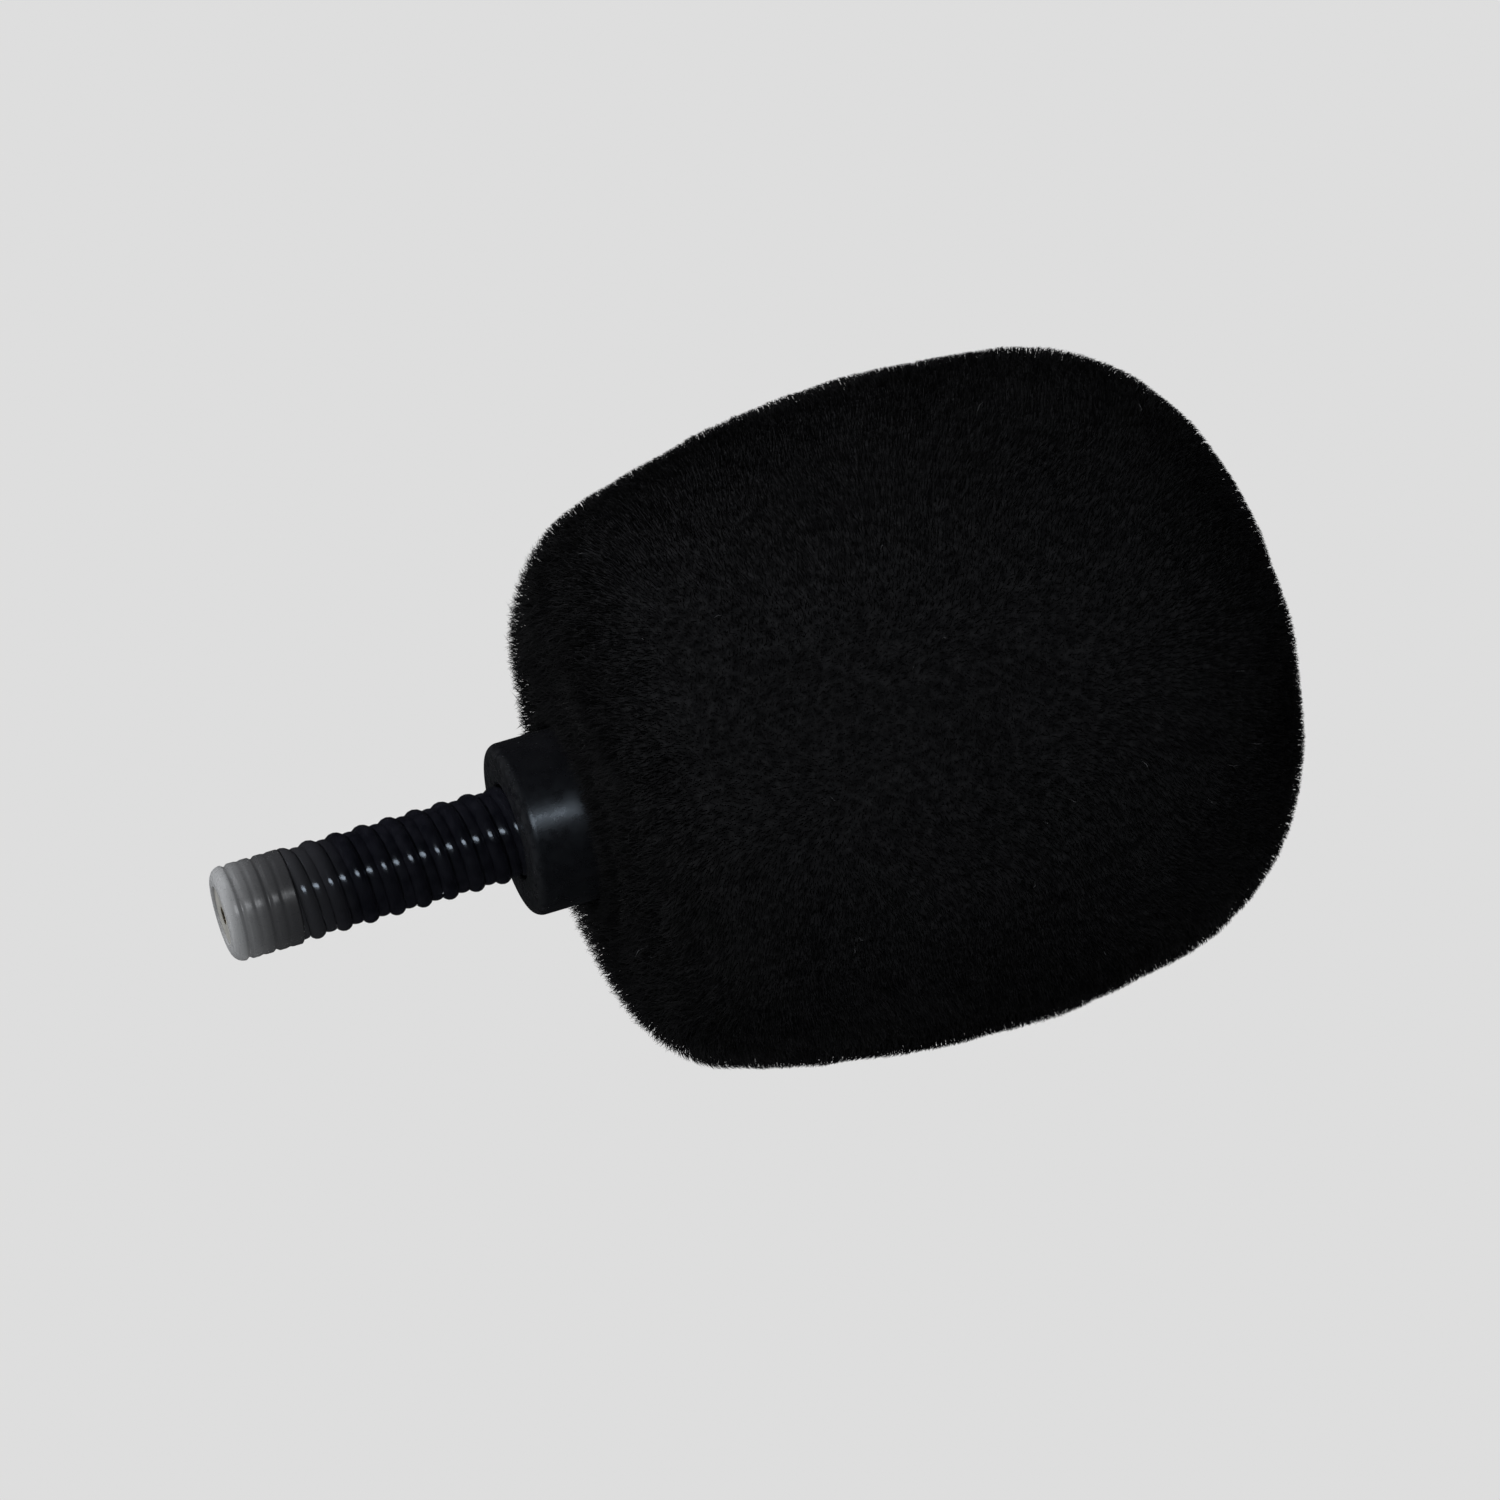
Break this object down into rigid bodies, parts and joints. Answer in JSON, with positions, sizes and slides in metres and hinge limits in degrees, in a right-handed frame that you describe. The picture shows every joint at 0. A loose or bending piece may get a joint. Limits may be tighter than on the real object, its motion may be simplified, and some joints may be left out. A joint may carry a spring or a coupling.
{
  "type": "furry windscreen",
  "caption": "Small black fur-covered foam windscreen pulled over the barrel of a slim microphone on a flexible ribbed gooseneck stub.",
  "frame": {"origin": "centre of the gooseneck's lower end face, where its ferrule is clamped", "axes": "+Z along the microphone's axis towards the windscreen's nose; +X and +Y across it"},
  "size_m": [0.0418, 0.0418, 0.0686],
  "materials": {
    "fur": "matte",
    "hem_fabric": "matte",
    "elastic": "matte",
    "foam": "matte",
    "cloth": "matte",
    "rubber": "matte",
    "black_anodised": "satin",
    "capsule_metal": "satin",
    "brass": "satin",
    "film": "gloss",
    "natural_plastic": "satin",
    "board": "satin",
    "black_plastic": "satin",
    "solder": "satin",
    "wire_insulation": "satin",
    "screw_steel": "satin",
    "gooseneck_black": "gloss",
    "cable_jacket": "satin",
    "satin_metal": "satin"
  },
  "bodies": {
    "gooseneck_base": {"end_ferrule": "satin_metal", "end_insulator": "natural_plastic", "centre_contact": "brass", "coil_wire_1": "gooseneck_black", "wedge_wire_1": "gooseneck_black", "cable_1": "cable_jacket"},
    "gooseneck_link_1": {"coil_wire_2": "gooseneck_black", "wedge_wire_2": "gooseneck_black", "cable_2": "cable_jacket"},
    "gooseneck_link_2": {"coil_wire_3": "gooseneck_black", "wedge_wire_3": "gooseneck_black", "cable_3": "cable_jacket"},
    "gooseneck_link_3": {"coil_wire_4": "gooseneck_black", "wedge_wire_4": "gooseneck_black", "cable_4": "cable_jacket"},
    "microphone_head": {"coil_wire_5": "gooseneck_black", "wedge_wire_5": "gooseneck_black", "cable_5": "cable_jacket", "neck_bush": "brass", "set_screw": "screw_steel", "cable_grommet": "rubber", "mic_barrel": "black_anodised", "grille_cap": "black_anodised", "acoustic_mesh": "cloth", "capsule_can": "capsule_metal", "diaphragm_ring": "brass", "diaphragm": "film", "spacer_ring": "film", "backplate": "brass", "backplate_holder": "natural_plastic", "capsule_board": "board", "fet_chip": "black_plastic", "solder_joints": "solder", "capsule_gasket": "rubber", "support_tube": "black_plastic", "lead_wires": "wire_insulation"},
    "grip_ring": {"grip_ring": "rubber"},
    "windscreen": {"fur_cover": "fur", "mouth_hem": "hem_fabric", "hem_elastic": "elastic", "foam_core": "foam"}
  },
  "joints": [
    {"name": "neck_tilt_lower", "type": "hinge", "parent": "gooseneck_base", "child": "gooseneck_link_1", "pos_m": [0, 0, 0.00617], "axis": [1, 0, 0], "range_deg": [-10, 10], "deforming": ["coil_wire_1", "wedge_wire_1", "cable_1", "coil_wire_2", "wedge_wire_2", "cable_2"]},
    {"name": "neck_swing_lower", "type": "hinge", "parent": "gooseneck_link_1", "child": "gooseneck_link_2", "pos_m": [0, 0, 0.00972], "axis": [0, 1, 0], "range_deg": [-10, 10], "deforming": ["coil_wire_3", "wedge_wire_3", "cable_3"]},
    {"name": "neck_tilt_upper", "type": "hinge", "parent": "gooseneck_link_2", "child": "gooseneck_link_3", "pos_m": [0, 0, 0.01328], "axis": [1, 0, 0], "range_deg": [-10, 10], "deforming": ["coil_wire_4", "wedge_wire_4", "cable_4"]},
    {"name": "neck_swing_upper", "type": "hinge", "parent": "gooseneck_link_3", "child": "microphone_head", "pos_m": [0, 0, 0.01682], "axis": [0, 1, 0], "range_deg": [-10, 10], "deforming": ["coil_wire_5", "wedge_wire_5", "cable_5"]},
    {"name": "windscreen_turn", "type": "hinge", "parent": "microphone_head", "child": "grip_ring", "pos_m": [0, 0, 0.0265], "axis": [0, 0, 1], "continuous": true},
    {"name": "windscreen_pull_off", "type": "slide", "parent": "grip_ring", "child": "windscreen", "axis": [0, 0, 1], "range_m": [0, 0.045]}
  ],
  "couplings": [
    {"joint": "neck_tilt_upper", "follows": "neck_tilt_lower", "ratio": 1},
    {"joint": "neck_swing_lower", "follows": "neck_swing_upper", "ratio": 1}
  ]
}
